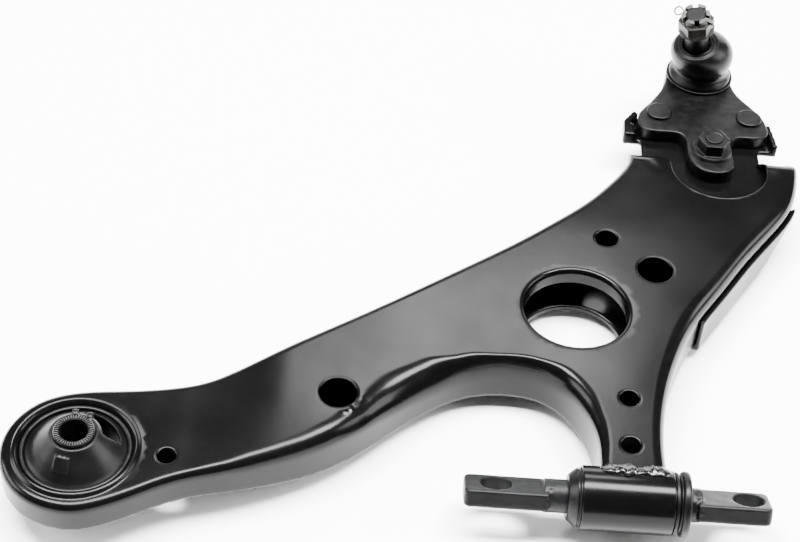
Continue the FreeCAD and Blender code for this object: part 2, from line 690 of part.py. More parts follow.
def boot_ring():
    """The ring that seals the boot on the stud."""
    place = Vector(0, 0, dim("boot_top") - 4.0)
    ring_solid = Part.makeCylinder(dim("ring_radius") - 0.05, 4.6, place)
    return ring_solid.cut(Part.makeCylinder(dim("stud_radius") + 0.06, 30, place - Vector(0, 0, 5)))


on_stud("boot_ring", boot_ring())

CLAMP_PLACE = Placement(Vector(JOINT.x, JOINT.y, dim("housing_top") - 1.6), Rotation())
keep(primitive("Torus", "boot_clamp", CLAMP_PLACE, Radius1="Dims.boot_base_radius + 0.8", Radius2="1.0"),
     "boot_clamp")

# ------------------------------------------------------------------ the ball joint's fixings

PLATE_TOP = dim("plate_bottom") + dim("plate_thick")


def press_stud(x, y):
    """A round-headed stud, pressed down through the plate and the pad."""
    head = Part.makeCylinder(dim("press_head_radius"), dim("press_head_height"), Vector(x, y, PLATE_TOP))
    rim = [edge for edge in head.Edges if on_level(edge, PLATE_TOP + dim("press_head_height"))]
    head = head.makeFillet(0.8, rim)
    radius, length = dim("fixing_radius"), dim("fixing_length")
    return head.fuse(Part.makeCylinder(radius, length, Vector(x, y, PLATE_TOP - length)))


def on_level(edge, height):
    """Whether an edge is a circle at a height."""
    return edge.Closed and abs(edge.CenterOfMass.z - height) < 1e-6


def flange_nut(x, y, face, way, flange_radius=dim("fixing_flange"), total=dim("press_nut_height")):
    """A hexagon nut with a round flange, standing up or down from a face."""
    bore = dim("fixing_radius")
    flange = Part.makeCone(flange_radius, flange_radius - 1.4, dim("flange_height"))
    body = hexagon(dim("fixing_hex"), total, 0)
    rounded = Part.makeCone(dim("fixing_hex") / 2 + 5.2, dim("fixing_hex") / 2 - 0.1, total + 4.2)
    solid = flange.fuse(body.common(rounded)).cut(Part.makeCylinder(bore, 40, Vector(0, 0, -5)))
    if way < 0:
        solid = solid.rotated(Vector(), Vector(1, 0, 0), 180)
    return solid.translated(Vector(x, y, face))


def flange_bolt(x, y):
    """A hexagon flange bolt, up through the pad and the plate."""
    head = flange_nut(0, 0, 0, -1).fuse(Part.makeCylinder(dim("fixing_radius") + 0.5, 8, Vector(0, 0, -8)))
    length = PLATE_TOP + dim("bolt_nut_height") + 0.8
    shank_solid = Part.makeCylinder(dim("fixing_radius"), length + 3, Vector(0, 0, -3))
    return head.fuse(shank_solid).translated(Vector(x, y, 0))


feature("flange_studs", Part.makeCompound([press_stud(x, y) for x, y in FIXINGS]))
stud_nuts = [flange_nut(x, y, 0, -1, dim("stud_nut_flange")) for x, y in FIXINGS]
feature("flange_stud_nuts", Part.makeCompound(stud_nuts))
feature("flange_bolt", flange_bolt(*BOLT))
feature("flange_bolt_nut", flange_nut(*BOLT, PLATE_TOP, 1, total=dim("bolt_nut_height")))

# ------------------------------------------------------------------ check and write

doc.recompute()
broken = [obj.Name for obj in doc.Objects if {"Invalid", "Error"} & set(obj.State)]
if broken:
    raise RuntimeError(f"failed objects: {broken}")
for node in nodes:
    if node.Shape.isNull() or not node.Shape.isValid() or not node.Shape.Solids:
        raise RuntimeError(f"bad shape: {node.Label}")

os.makedirs("parts", exist_ok=True)
for node in nodes:
    node.Shape.exportStep(f"parts/{node.Label}.step")
    box = node.Shape.BoundBox
    print(f"{node.Label:26s} solids {len(node.Shape.Solids)} volume {node.Shape.Volume:10.0f}"
          f"  x {box.XMin:7.1f} {box.XMax:7.1f}  y {box.YMin:7.1f} {box.YMax:7.1f}"
          f"  z {box.ZMin:6.1f} {box.ZMax:6.1f}")
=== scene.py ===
"""Front lower control arm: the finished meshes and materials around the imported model.

Sizes in the mesh code are in millimetres, in the model's own frame, and finished() turns them
into metres.
"""
import math
import bmesh
import bpy
import numpy as np
from mathutils import Matrix, Vector, noise
from mathutils.geometry import delaunay_2d_cdt


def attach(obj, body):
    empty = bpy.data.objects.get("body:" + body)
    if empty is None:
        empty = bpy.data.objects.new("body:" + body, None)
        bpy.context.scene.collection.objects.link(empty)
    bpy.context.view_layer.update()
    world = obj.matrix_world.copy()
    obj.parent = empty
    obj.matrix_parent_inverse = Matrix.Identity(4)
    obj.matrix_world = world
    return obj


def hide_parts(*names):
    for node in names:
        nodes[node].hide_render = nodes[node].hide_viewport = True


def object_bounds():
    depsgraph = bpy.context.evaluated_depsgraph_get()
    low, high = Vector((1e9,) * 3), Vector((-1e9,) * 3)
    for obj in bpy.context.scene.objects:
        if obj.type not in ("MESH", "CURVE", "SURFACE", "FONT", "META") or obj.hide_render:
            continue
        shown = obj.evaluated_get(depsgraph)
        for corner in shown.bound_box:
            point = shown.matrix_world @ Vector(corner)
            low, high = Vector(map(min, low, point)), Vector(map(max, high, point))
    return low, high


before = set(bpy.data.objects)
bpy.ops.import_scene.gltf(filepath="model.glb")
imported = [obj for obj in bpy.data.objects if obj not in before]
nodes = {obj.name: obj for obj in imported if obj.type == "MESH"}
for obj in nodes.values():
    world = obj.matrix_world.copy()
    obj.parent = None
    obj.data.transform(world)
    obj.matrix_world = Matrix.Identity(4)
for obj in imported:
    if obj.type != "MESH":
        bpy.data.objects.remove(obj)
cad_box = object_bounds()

MM = 0.001

# ------------------------------------------------------------------ dimensions, mm

TOP = 17.0
UPPER_GAUGE = 3.0
EDGE_ABOVE_FLOOR = 5.5
# Round openings are (x, y, radius).
WINDOW = (293.0, 138.5, 33.0)
EYE_RADIUS = 44.0
EYE = (0.0, 0.0, 32.7)
NOTCH = (396.0, 286.0, 33.0)
HOLES = [(314.6, 204.1, 7.5), (345.1, 177.6, 11.5), (147.9, 53.8, 11.5), (323.0, 64.8, 6.0),
         (322.2, 28.2, 6.0), (52.6, -1.4, 5.5)]
WINDOW_COLLAR_END, EYE_COLLAR_END = 6.0, -5.6
TUBE_START, TUBE_RADIUS, TUBE_LENGTH = 293.0, 19.0, 53.5
ROLL_START, ROLL_RADIUS, ROLL_SINK = 283.0, 22.0, 1.0
X_AXIS, UP = Vector((1, 0, 0)), Vector((0, 0, 1))
JOINT = Vector((389.6, 387.3, 8.0))
STUD_AXIS = Vector((-math.tan(math.radians(11.0)), -math.tan(math.radians(9.0)), 1)).normalized()

# Each point is the wall's x and y, how far in the top face's edge lies, and how far the shoulder falls.
OUTLINE = [
    (34, -32, 5, 5), (49, -23, 5, 5), (66, -15, 5, 5), (85, -9, 6, 6), (104, -2, 8, 8),
    (126, 8, 9, 9), (147, 21, 11, 10), (167, 38, 15, 13), (185, 56, 18, 17), (204, 72, 15, 19),
    (224, 84, 8, 19), (246, 89, 5, 17), (267, 87, 6, 15), (283, 78, 9, 14), (294, 64, 9, 11),
    (301, 47, 7, 8), (304, 30, 6, 7), (304, 10, 5, 6), (308, -8, 5, 5), (324, -12, 5, 5),
    (339, -8, 5, 5), (343, 10, 7, 8), (343, 30, 7, 9), (345, 58, 7, 9), (353, 94, 8, 10),
    (368, 134, 9, 10), (388, 167, 8, 10), (408, 199, 8, 10), (428, 228, 8, 9), (443, 253, 8, 8),
    (450, 278, 7, 7), (451, 304, 6, 6), (445, 326, 5, 5), (440, 342, 5, 5), (424, 351, 5, 5),
    (392, 354, 5, 5), (358, 353, 5, 5), (341, 346, 5, 5), (334, 334, 5, 5), (334, 318, 5, 5),
    (335, 300, 5, 5), (332, 284, 5, 5), (320, 264, 5, 5), (303, 242, 5, 5), (284, 223, 5, 5),
    (257, 199, 5, 5), (227, 175, 5, 5), (192, 148, 5, 5), (156, 121, 5, 5), (124, 98, 5, 5),
    (96, 77, 5, 5), (72, 61, 5, 5), (50, 53, 5, 5), (25, 48.5, 5, 5), (0, 45.3, 5, 5),
] + [(EYE_RADIUS * math.cos(math.radians(a)), EYE_RADIUS * math.sin(math.radians(a)), 5, 5)
     for a in range(118, 300, 24)]

# ------------------------------------------------------------------ mesh helpers


def linked(name, data):
    """A new object in the scene."""
    obj = bpy.data.objects.new(name, data)
    bpy.context.scene.collection.objects.link(obj)
    return obj


def mesh_of(name, points, faces):
    """A new mesh from points in millimetres."""
    mesh = bpy.data.meshes.new(name)
    mesh.from_pydata([Vector(p) * MM for p in points], [], faces)
    return mesh


def finished(name, points, faces, body, replaced=(), material=None, smooth_angle=35, bare=None):
    """A piece from millimetre points and faces, on its body."""
    mesh = mesh_of(name, points, faces)
    mesh.validate()
    return settle(linked(name, mesh), body, replaced, material, smooth_angle, bare)


def settle(obj, body, replaced=(), material=None, smooth_angle=35, bare=None):
    """Shade a piece, give it its material and put it on its body.

    bare(centre in millimetres, normal) picks the faces where the finish is worn to bright steel.
    """
    shade(obj, smooth_angle)
    if material:
        obj.data.materials.clear()
        obj.data.materials.append(material)
    if bare:
        obj.data.materials.append(BARE)
        for face in obj.data.polygons:
            face.material_index = int(bare(face.center / MM, face.normal))
    if replaced:
        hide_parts(*replaced)
    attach(obj, body)
    return obj


def shade(obj, angle):
    """Smooth shading, with edges sharper than angle left crisp."""
    mesh = obj.data
    mesh.polygons.foreach_set("use_smooth", [True] * len(mesh.polygons))
    mesh.set_sharp_from_angle(angle=math.radians(angle))
    mesh.update()


def apply_modifiers(obj):
    """Turn a piece's modifiers into mesh."""
    depsgraph = bpy.context.evaluated_depsgraph_get()
    mesh = bpy.data.meshes.new_from_object(obj.evaluated_get(depsgraph))
    old = obj.data
    obj.modifiers.clear()
    obj.data = mesh
    mesh.name = obj.name
    bpy.data.meshes.remove(old)


def softened(node, voxel, rounds, extra=()):
    """A copy of a CAD node with its edges rounded as on a forging or a stamping.

    voxel is the remesh size and rounds how many times it is smoothed. extra holds (points, faces)
    of small forms to merge in, in millimetres.
    """
    mesh = nodes[node].data.copy()
    obj = linked(node + "_skin", mesh)
    if extra:
        join_forms(mesh, extra)
    remesh = obj.modifiers.new("remesh", "REMESH")
    remesh.mode = "VOXEL"
    remesh.voxel_size = voxel * MM
    smooth = obj.modifiers.new("smooth", "SMOOTH")
    smooth.factor = 0.5
    smooth.iterations = rounds
    apply_modifiers(obj)
    return obj


def roughened(obj, rise):
    """Push each point out along its normal by rise(point in millimetres), in millimetres."""
    mesh = obj.data
    count = len(mesh.vertices)
    spots, normals = np.empty(count * 3), np.empty(count * 3)
    mesh.vertices.foreach_get("co", spots)
    mesh.vertex_normals.foreach_get("vector", normals)
    spots, normals = spots.reshape(-1, 3), normals.reshape(-1, 3)
    lift = np.array([rise(Vector(spot / MM)) for spot in spots])
    mesh.vertices.foreach_set("co", (spots + normals * lift[:, None] * MM).ravel())
    mesh.update()


def join_forms(mesh, forms):
    """Add closed forms, in millimetres, to a mesh in metres."""
    bm = bmesh.new()
    bm.from_mesh(mesh)
    for points, faces in forms:
        made = [bm.verts.new(Vector(p) * MM) for p in points]
        for face in faces:
            bm.faces.new([made[i] for i in face])
    bm.to_mesh(mesh)
    bm.free()


def rings_to_faces(count, around, closed_ends=True):
    """Quads between stacked rings of points, with end caps if asked."""
    faces = []
    for k in range(count - 1):
        for i in range(around):
            j = (i + 1) % around
            a, b = k * around, (k + 1) * around
            faces.append((a + i, a + j, b + j, b + i))
    if closed_ends:
        faces.append(tuple(range(around))[::-1])
        faces.append(tuple(range((count - 1) * around, count * around)))
    return faces


def looped_rings(count, around):
    """Quads between rings of points, and from the last ring back to the first."""
    faces = rings_to_faces(count, around, closed_ends=False)
    last = (count - 1) * around
    for i in range(around):
        j = (i + 1) % around
        faces.append((last + i, last + j, j, i))
    return faces


def lathe(profile, centre, axis, around=96):
    """Points and faces of a profile of (radius, height), turned about an axis."""
    turn = UP.rotation_difference(axis).to_matrix()
    points = []
    for radius, height in profile:
        for i in range(around):
            angle = 2 * math.pi * i / around
            local = Vector((radius * math.cos(angle), radius * math.sin(angle), height))
            points.append(Vector(centre) + turn @ local)
    return points, rings_to_faces(len(profile), around)


def loop_lathe(profile, centre, axis, around=96):
    """As lathe, for a profile that closes on itself, as a tube's does."""
    points, _ = lathe(profile, centre, axis, around)
    return points, looped_rings(len(profile), around)


def rounded(profile, radius, steps=4):
    """A closed profile with its corners rounded by short arcs."""
    result = []
    count = len(profile)
    for i in range(count):
        before, here, after = (Vector(profile[(i + k) % count]) for k in (-1, 0, 1))
        reach = min(radius, (before - here).length * 0.45, (after - here).length * 0.45)
        a = here + (before - here).normalized() * reach
        b = here + (after - here).normalized() * reach
        for k in range(steps + 1):
            t = k / steps
            result.append(tuple(a * (1 - t) ** 2 + here * 2 * t * (1 - t) + b * t ** 2))
    return result


def smoothstep(low, high, value):
    """0 up to low, 1 from high on, smooth between. low may be the larger of the two."""
    t = min(1.0, max(0.0, (value - low) / (high - low)))
    return t * t * (3 - 2 * t)


# ------------------------------------------------------------------ materials


def material(name, colour, roughness, metallic=0.0, specular=0.5):
    """A Principled material: itself, its node tree and its shader."""
    mat = bpy.data.materials.new(name)
    mat.use_nodes = True
    shader = mat.node_tree.nodes["Principled BSDF"]
    shader.inputs["Base Color"].default_value = (*colour, 1)
    shader.inputs["Roughness"].default_value = roughness
    shader.inputs["Metallic"].default_value = metallic
    shader.inputs["Specular IOR Level"].default_value = specular
    return mat, mat.node_tree, shader


def noise_node(tree, scale, detail=4.0, rough=0.55):
    """A noise texture in the object's own metres."""
    place = tree.nodes.new("ShaderNodeTexCoord")
    tex = tree.nodes.new("ShaderNodeTexNoise")
    tex.inputs["Scale"].default_value = scale
    tex.inputs["Detail"].default_value = detail
    tex.inputs["Roughness"].default_value = rough
    tree.links.new(place.outputs["Object"], tex.inputs["Vector"])
    return tex


def ramp(tree, source, low, high, start=0.3, end=0.7):
    """A value from low to high as source goes from start to end."""
    node = tree.nodes.new("ShaderNodeMapRange")
    node.inputs["From Min"].default_value = start
    node.inputs["From Max"].default_value = end
    node.inputs["To Min"].default_value = low
    node.inputs["To Max"].default_value = high
    tree.links.new(source, node.inputs["Value"])
    return node.outputs["Result"]


def colour_mix(tree, factor, first, second):
    """A blend of two colours."""
    node = tree.nodes.new("ShaderNodeMix")
    node.data_type = "RGBA"
    node.inputs["A"].default_value = (*first, 1)
    node.inputs["B"].default_value = (*second, 1)
    tree.links.new(factor, node.inputs["Factor"])
    return node.outputs["Result"]


def bump(tree, shader, layers):
    """Stack bumps, each (height output, distance in metres, strength), on a shader."""
    last = None
    for height, distance, strength in layers:
        node = tree.nodes.new("ShaderNodeBump")
        node.inputs["Distance"].default_value = distance
        node.inputs["Strength"].default_value = strength
        tree.links.new(height, node.inputs["Height"])
        if last:
            tree.links.new(last, node.inputs["Normal"])
        last = node.outputs["Normal"]
    tree.links.new(last, shader.inputs["Normal"])


def paint_material():
    """Glossy black dip paint on stamped steel: orange peel, faint flow marks and dull patches."""
    mat, tree, shader = material("arm_paint", (0.0012, 0.0012, 0.00125), 0.2, specular=0.09)
    broad = noise_node(tree, 14, 3)
    fine = noise_node(tree, 900, 2)
    speck = noise_node(tree, 260, 5, 0.7)
    tree.links.new(ramp(tree, broad.outputs["Fac"], 0.15, 0.26), shader.inputs["Roughness"])
    dust = ramp(tree, speck.outputs["Fac"], 0, 1, 0.55, 0.75)
    tree.links.new(colour_mix(tree, dust, (0.0009, 0.0009, 0.00095), (0.002, 0.002, 0.0021)),
                   shader.inputs["Base Color"])
    bump(tree, shader, [(fine.outputs["Fac"], 0.00003, 0.35), (speck.outputs["Fac"], 0.00005, 0.25)])
    return mat


def weld_material():
    """Wet-looking black paint over a weld's ripples."""
    mat, tree, shader = material("weld_paint", (0.0012, 0.0012, 0.00125), 0.16, specular=0.35)
    ripple = noise_node(tree, 420, 3)
    tree.links.new(ramp(tree, ripple.outputs["Fac"], 0.12, 0.3), shader.inputs["Roughness"])
    bump(tree, shader, [(ripple.outputs["Fac"], 0.0002, 0.4)])
    return mat


def steel_material(name, colour, light, roughness, grain):
    """Phosphated steel: a dark grey with fine grain and lighter, worn flecks."""
    mat, tree, shader = material(name, colour, roughness, metallic=0.35, specular=0.13)
    fleck = noise_node(tree, 180, 6, 0.65)
    fine = noise_node(tree, grain, 3)
    tree.links.new(colour_mix(tree, ramp(tree, fleck.outputs["Fac"], 0, 1, 0.42, 0.78), colour, light),
                   shader.inputs["Base Color"])
    tree.links.new(ramp(tree, fleck.outputs["Fac"], roughness - 0.08, roughness + 0.1),
                   shader.inputs["Roughness"])
    bump(tree, shader, [(fine.outputs["Fac"], 0.00006, 0.5), (fleck.outputs["Fac"], 0.0001, 0.3)])
    return mat


def rubber_material(name, colour, roughness):
    """Moulded rubber: a satin black with faint bloom and mould grain."""
    mat, tree, shader = material(name, colour, roughness, specular=0.1)
    bloom = noise_node(tree, 60, 5, 0.6)
    grain = noise_node(tree, 1200, 2)
    lighter = tuple(c * 1.7 for c in colour)
    tree.links.new(colour_mix(tree, ramp(tree, bloom.outputs["Fac"], 0, 1, 0.4, 0.8), colour, lighter),
                   shader.inputs["Base Color"])
    tree.links.new(ramp(tree, bloom.outputs["Fac"], roughness - 0.08, roughness + 0.08),
                   shader.inputs["Roughness"])
    bump(tree, shader, [(grain.outputs["Fac"], 0.00004, 0.4)])
    return mat


def wire_material():
    """Plain drawn wire, slightly dulled."""
    mat, tree, shader = material("wire", (0.07, 0.068, 0.065), 0.4, metallic=0.9)
    drawn = noise_node(tree, 300, 4)
    tree.links.new(ramp(tree, drawn.outputs["Fac"], 0.32, 0.5), shader.inputs["Roughness"])
    bump(tree, shader, [(drawn.outputs["Fac"], 0.00003, 0.4)])
    return mat


def seat_material():
    """Pale moulded plastic for the hidden seat."""
    mat, tree, shader = material("seat_plastic", (0.7, 0.68, 0.62), 0.4)
    cloud = noise_node(tree, 90, 3)
    tree.links.new(ramp(tree, cloud.outputs["Fac"], 0.34, 0.48), shader.inputs["Roughness"])
    return mat


PAINT = paint_material()
WELD = weld_material()
STEEL = steel_material("dark_steel", (0.001, 0.001, 0.00105), (0.0022, 0.0022, 0.0023), 0.38, 700)
BAR_STEEL = steel_material("bar_steel", (0.0028, 0.0029, 0.0031), (0.005, 0.0051, 0.0053), 0.42, 500)
NUT_STEEL = steel_material("nut_steel", (0.005, 0.0048, 0.0045), (0.018, 0.0165, 0.0145), 0.38, 900)
BARE = steel_material("bare_steel", (0.03, 0.0295, 0.028), (0.065, 0.063, 0.06), 0.4, 900)
SLEEVE_STEEL = steel_material("sleeve_steel", (0.002, 0.002, 0.0021), (0.005, 0.005, 0.0051), 0.34, 800)
RUBBER = rubber_material("rubber", (0.0011, 0.0011, 0.0012), 0.36)
BOOT_RUBBER = rubber_material("boot_rubber", (0.0005, 0.0005, 0.00055), 0.34)
WIRE = wire_material()
SEAT = seat_material()

# ------------------------------------------------------------------ the upper shell


def periodic_spline(values):
    """The second-derivative solution of a closed cubic spline through evenly spaced values."""
    count = len(values)
    grid = np.zeros((count, count))
    for i in range(count):
        grid[i, i] = 4
        grid[i, i - 1] = 1
        grid[i, (i + 1) % count] = 1
    rise = np.array([6 * (values[(i + 1) % count] - 2 * values[i] + values[i - 1]) for i in range(count)])
    return np.linalg.solve(grid, rise)


def outline_samples(per_span):
    """The outline as evenly parametrised rows of x, y, inset, drop and the inward normal."""
    table = np.array(OUTLINE, float)
    bends = [periodic_spline(table[:, k]) for k in range(2)]
    rows = []
    count = len(table)
    for i in range(count):
        j = (i + 1) % count
        for step in range(per_span):
            t = step / per_span
            spot, slope = [], []
            for k in range(2):
                a, b, ma, mb = table[i, k], table[j, k], bends[k][i], bends[k][j]
                spot.append(a * (1 - t) + b * t + ((1 - t) ** 3 - (1 - t)) * ma / 6 + (t ** 3 - t) * mb / 6)
                slope.append(b - a - (3 * (1 - t) ** 2 - 1) * ma / 6 + (3 * t ** 2 - 1) * mb / 6)
            ease = t * t * (3 - 2 * t)
            inset, drop = (table[i, k] * (1 - ease) + table[j, k] * ease for k in (2, 3))
            size = math.hypot(*slope)
            rows.append((spot[0], spot[1], inset, drop, -slope[1] / size, slope[0] / size))
    return rows


def floor_height(x, y):
    """The arm's underside."""
    rear = -10 - 10 * smoothstep(45, 185, x)
    return rear + 20 * smoothstep(205, 252, y)


def face_height(x, y):
    """The top face, with its slight fall to the rear and to the outer end, and faint waves."""
    height = TOP - 2.4 * smoothstep(118, 62, x)
    height -= 1.4 * smoothstep(205, 290, y)
    wave = noise.noise(Vector((x * 0.014, y * 0.014, 3.1)))
    return height + 0.22 * wave - 0.12


def rolled(y, height):
    """The height under the rolled outer end."""
    if y <= ROLL_START:
        return height
    reach = min(y - ROLL_START, ROLL_RADIUS - 0.01)
    return min(height, TOP - ROLL_RADIUS + math.sqrt(ROLL_RADIUS ** 2 - reach ** 2) - ROLL_SINK)


def inside_polygon(x, y, polygon):
    """Whether a point lies inside a polygon."""
    inside = False
    for i in range(len(polygon)):
        (ax, ay), (bx, by) = polygon[i - 1], polygon[i]
        if (ay > y) != (by > y) and x < (bx - ax) * (y - ay) / (by - ay) + ax:
            inside = not inside
    return inside


def circle(x, y, radius, count):
    """Points round a circle."""
    return [(x + radius * math.cos(2 * math.pi * i / count), y + radius * math.sin(2 * math.pi * i / count))
            for i in range(count)]


# Rings of (distance out from a hole's edge, height above the face), from the edge outwards.
PLAIN_RIM = [(0.0, -0.7), (0.35, -0.2), (0.9, 0.0), (2.0, 0.0), (3.5, 0.0)]
WINDOW_RIM = [(0.0, -3.0), (0.35, -1.6), (1.0, -0.65), (2.0, -0.15), (3.2, 0.0)]
EYE_RIM = [(0.0, -1.2), (0.4, 0.2), (1.1, 1.3), (2.0, 1.9), (2.9, 1.8), (3.8, 1.0), (4.6, 0.25), (5.3, 0.0)]
END_Y = 302.4
RIGHT_CORNER = [(449.3, 295.4), (447.2, 298.3), (445.2, 300.4), (442.8, 301.8), (439.8, END_Y),
                (434.5, END_Y), (429.5, END_Y)]
LEFT_CORNER = [(362.2, 287.7), (360.5, 290.5), (359.0, 292.9), (357.5, 295.0), (355.9, 297.2),
               (354.2, 299.2), (352.2, 300.9), (349.8, 302.0), (346.6, END_Y), (342.8, END_Y),
               (339.0, END_Y)]
LEG_Y = 7.0

SHOULDER_STEPS = (0.14, 0.28, 0.42, 0.56, 0.7, 0.84, 1.0)
EDGE_FALL = 0.7
MESH_SPACING = 4.0


def walled_run():
    """The outline's rows that have a wall: from the left corner, round the rear, to the right one."""
    rows = outline_samples(10)
    count = len(rows)
    start = max(i for i in range(count) if rows[i][1] > END_Y and rows[i][0] < 345) + 1
    stop = max(i for i in range(count) if rows[i][1] < RIGHT_CORNER[0][1] - 2 and rows[i][0] > 430)
    return [rows[i % count] for i in range(start, count + stop + 1)]


def build_upper_shell():
    """The stamped top half: domed face, deep shoulder in the bay, walls, collars and a notched end.

    Its face is a Delaunay mesh in plan, over rows of points that follow the shoulder, the cut end
    and the rims of the holes.
    """
    run = walled_run()
    walls = np.array(run)
    rims = [(WINDOW, WINDOW_RIM, 120), (EYE, EYE_RIM, 144)] + [(hole, PLAIN_RIM, 48) for hole in HOLES]
    points, heights = [], []

    def put(x, y, height):
        """Add a point of the face, and say which one it is."""
        points.append((x, y))
        heights.append(height)
        return len(points) - 1

    def shoulder_point(row, step):
        """A point of the shoulder, from the wall at step 0 to the top face at step 1."""
        x, y, inset, drop, nx, ny = row
        turn = step * math.pi / 2
        depth = inset * (1 - math.cos(turn))
        px, py = x + nx * depth, y + ny * depth
        return px, py, rolled(py, face_height(px, py) - drop * (1 - math.sin(turn)))

    def clear_of_rims(x, y, gap):
        """Whether a point lies outside every hole's rim."""
        return all(math.hypot(x - cx, y - cy) > r + rim[-1][0] + gap for (cx, cy, r), rim, _ in rims)

    def surface(x, y):
        """The sheet's height at a point, shoulder included."""
        row = run[int(np.hypot(walls[:, 0] - x, walls[:, 1] - y).argmin())]
        depth = max(0.0, (x - row[0]) * row[4] + (y - row[1]) * row[5])
        turn = math.acos(1 - min(depth, row[2]) / row[2])
        return rolled(y, face_height(x, y) - row[3] * (1 - math.sin(turn)))

    def inland_row(inland):
        """The points a distance inside the top face's edge."""
        return [(x + nx * (inset + inland), y + ny * (inset + inland)) for x, y, inset, _, nx, ny in run]

    wall = [put(*shoulder_point(row, 0.0)) for row in run]
    end_edge = cut_end()
    boundary = wall + [put(x, y, surface(x, y) - EDGE_FALL) for x, y in end_edge]
    boundary_plan = [points[i] for i in boundary]
    for step in SHOULDER_STEPS:
        for row in run:
            px, py, height = shoulder_point(row, step)
            if clear_of(end_edge, px, py, 1.8) and inside_polygon(px, py, boundary_plan):
                put(px, py, height)
    for inland in (1.5, 3.2):
        for px, py in inland_row(inland):
            if (clear_of(end_edge, px, py, 2.2) and inside_polygon(px, py, boundary_plan)
                    and clear_of_rims(px, py, 0.8)):
                put(px, py, rolled(py, face_height(px, py)))
    for offset, fall in ((0.45, 0.2), (0.95, 0.0)):
        for px, py in off_the_cut(end_edge, offset):
            if inside_polygon(px, py, boundary_plan):
                put(px, py, surface(px, py) - fall)
    loops, rim_ids = [boundary], []
    for (x, y, radius), rim, around in rims:
        for k, (out, rise) in enumerate(rim):
            ids = [put(px, py, face_height(px, py) + rise) for px, py in circle(x, y, radius + out, around)]
            if k == 0:
                loops.append(ids[::-1])
                rim_ids.append(ids)
    # A staggered grid fills what is left of the top face.
    plateau = inland_row(5.2) + end_edge
    for iy in range(-14, 80):
        for ix in range(-14, 118):
            x = (ix + 0.5 * (iy % 2)) * MESH_SPACING
            y = iy * MESH_SPACING * 0.866
            if (inside_polygon(x, y, plateau) and clear_of(end_edge, x, y, 2.8)
                    and clear_of_rims(x, y, 1.2)):
                put(x, y, rolled(y, face_height(x, y)))
    edges = [(loop[i], loop[(i + 1) % len(loop)]) for loop in loops for i in range(len(loop))]
    flat, _, faces, origins, _, _ = delaunay_2d_cdt([Vector(p) for p in points], edges, [], 0, 1e-5)
    height_of = [heights[o[0]] if o else surface(p.x, p.y) for o, p in zip(origins, flat)]
    faces = [tuple(f) for f in faces if face_inside(f, flat, boundary_plan, rims)]
    solid = [(p.x, p.y, height) for p, height in zip(flat, height_of)]
    place = {o: i for i, origin in enumerate(origins) for o in origin}
    add_wall(solid, faces, [place[i] for i in wall])
    add_collar(solid, faces, [place[i] for i in rim_ids[0]], WINDOW_COLLAR_END)
    add_collar(solid, faces, [place[i] for i in rim_ids[1]], EYE_COLLAR_END)
    return solid, faces


def cut_end():
    """The end edge from the right wall to the left one, by way of the notch."""
    x, y, radius = NOTCH
    begin = math.asin((END_Y - y) / radius)
    sweep = math.pi + begin
    arc = [(x + radius * math.cos(begin - sweep * t), y + radius * math.sin(begin - sweep * t))
           for t in np.linspace(0, 1, 68)]
    return RIGHT_CORNER + arc + LEFT_CORNER


def off_the_cut(edge, offset):
    """The end edge, moved into the shell."""
    moved = []
    for i in range(1, len(edge) - 1):
        (ax, ay), (bx, by) = edge[i - 1], edge[i + 1]
        long = math.hypot(bx - ax, by - ay)
        moved.append((edge[i][0] - (by - ay) / long * offset, edge[i][1] + (bx - ax) / long * offset))
    return moved


def clear_of(edge, x, y, gap):
    """Whether a point keeps its distance from every point of an edge."""
    spots = np.array(edge)
    return np.hypot(spots[:, 0] - x, spots[:, 1] - y).min() > gap


def face_inside(face, flat, boundary, rims):
    """Whether a triangle is part of the shell's face."""
    x = sum(flat[i].x for i in face) / len(face)
    y = sum(flat[i].y for i in face) / len(face)
    if any(math.hypot(x - cx, y - cy) < r - 0.02 for (cx, cy, r), _, _ in rims):
        return False
    return inside_polygon(x, y, boundary)


def add_wall(solid, faces, top_ids):
    """Turn the sheet down from the shoulder to its lower edge."""
    above_row = top_ids
    for step in (0.12, 0.35, 0.65, 0.9, 1.0):
        row = []
        for i in top_ids:
            x, y, z = solid[i]
            low = min(floor_height(x, y) + EDGE_ABOVE_FLOOR, z - 0.6)
            solid.append((x, y, z + (low - z) * step))
            row.append(len(solid) - 1)
        for k in range(len(top_ids) - 1):
            faces.append((above_row[k], row[k], row[k + 1], above_row[k + 1]))
        above_row = row


def add_collar(solid, faces, top_ids, bottom):
    """Turn the sheet down round a hole, to the height bottom."""
    above_row = top_ids
    count = len(top_ids)
    for step in (0.1, 0.4, 0.7, 1.0):
        row = []
        for i in top_ids:
            x, y, z = solid[i]
            solid.append((x, y, z + (bottom - z) * step))
            row.append(len(solid) - 1)
        for k in range(count):
            j = (k + 1) % count
            faces.append((above_row[j], row[j], row[k], above_row[k]))
        above_row = row


def trim_leg(obj):
    """Cut the leg's end to the front bush's tube."""
    start, length = 290.0, 66.0
    radius = TUBE_RADIUS - 0.2
    tube = lathe([(radius, 0), (radius, length)], (start, 0, 0), X_AXIS)
    below = box_form((start, -60, -60), (start + length, LEG_Y, 60))
    for name, form in (("tube", tube), ("below", below)):
        cutter = linked(name, mesh_of(name, *form))
        cut = obj.modifiers.new(name, "BOOLEAN")
        cut.operation = "DIFFERENCE"
        cut.object = cutter
        cut.solver = "EXACT"
        apply_modifiers(obj)
        bpy.data.objects.remove(cutter)


def box_form(low, high):
    """A box as points and faces."""
    points = [(x, y, z) for z in (low[2], high[2]) for y in (low[1], high[1]) for x in (low[0], high[0])]
    faces = [(0, 2, 3, 1), (4, 5, 7, 6), (0, 1, 5, 4), (2, 6, 7, 3), (0, 4, 6, 2), (1, 3, 7, 5)]
    return points, faces


